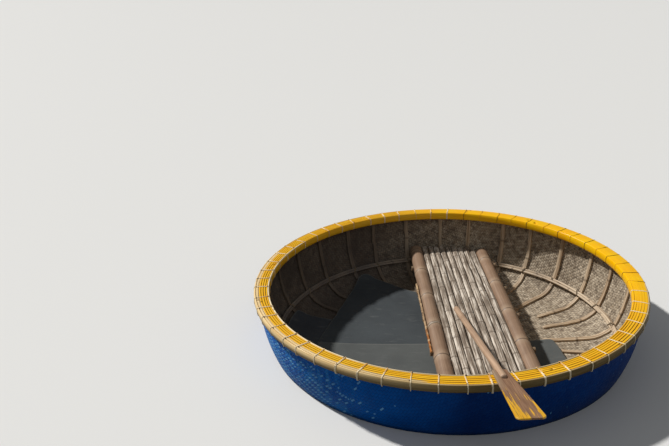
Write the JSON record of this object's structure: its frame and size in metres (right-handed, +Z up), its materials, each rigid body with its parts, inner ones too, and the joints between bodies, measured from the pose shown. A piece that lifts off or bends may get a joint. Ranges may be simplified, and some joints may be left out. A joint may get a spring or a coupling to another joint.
{
  "type": "coracle",
  "caption": "Round basket boat of woven split bamboo with a lashed rim, ribs, a slatted seat, floor mats and a paddle laid across its edge.",
  "frame": {"origin": "middle of the waterline, at the water's surface", "axes": "+Z up; Y along the seat, with the paddle's blade towards -Y; +X to the right seen from the blade's side"},
  "size_m": [2.1998, 2.6315, 0.6123],
  "materials": {
    "painted_weave": "woven split bamboo, coated, blue outside and bare inside",
    "aged_bamboo": "bare, grey-brown and weathered",
    "yellow_bamboo": "thick gloss paint, worn",
    "weathered_bamboo": "bare split bamboo with worn paint",
    "seat_bamboo": "smooth bare culm",
    "grey_bamboo": "bleached and weathered",
    "mat_rubber": "matt sheet, dusty",
    "paddle_wood": "smooth bare wood",
    "blade_wood": "brown wood with worn paint"
  },
  "bodies": {
    "root": {"hull": "painted_weave", "ribs": "aged_bamboo", "waist_hoop": "aged_bamboo", "rim_inner_hoop": "yellow_bamboo", "rim_outer_hoop": "weathered_bamboo", "rim_filler": "aged_bamboo", "rim_cap": "yellow_bamboo", "seat_left_culm": "seat_bamboo", "seat_right_culm": "seat_bamboo", "seat_rungs": "seat_bamboo", "seat_slats": "grey_bamboo", "mat_left": "mat_rubber", "mat_far": "mat_rubber", "mat_near": "mat_rubber", "paddle_shaft": "paddle_wood", "paddle_blade": "blade_wood"}
  },
  "joints": []
}
